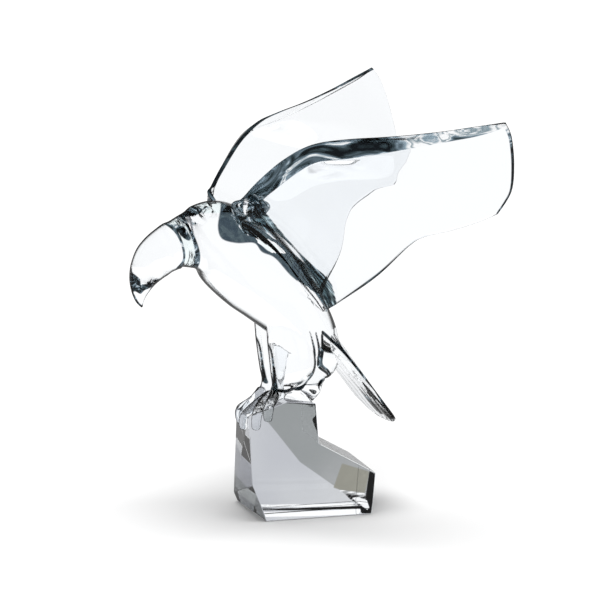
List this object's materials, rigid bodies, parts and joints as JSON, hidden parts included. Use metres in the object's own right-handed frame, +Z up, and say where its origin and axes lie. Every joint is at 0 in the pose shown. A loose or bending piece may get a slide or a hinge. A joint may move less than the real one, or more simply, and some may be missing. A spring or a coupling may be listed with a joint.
{
  "type": "crystal eagle sculpture",
  "caption": "Clear crystal eagle with raised wings and fanned tail, leaning forward from a faceted crystal rock; stands by its own weight.",
  "frame": {"origin": "on the ground under the middle of the rock, on its flat underside", "axes": "+Z up, -X the way the bird faces, the bird mirrors across Y = 0"},
  "size_m": [0.2553, 0.2506, 0.302],
  "materials": {
    "fire_polished_crystal": "fire polished, clear",
    "cut_crystal": "cut and polished facets, clear"
  },
  "bodies": {
    "root": {"eagle": "fire_polished_crystal", "rock_base": "cut_crystal"}
  },
  "joints": []
}
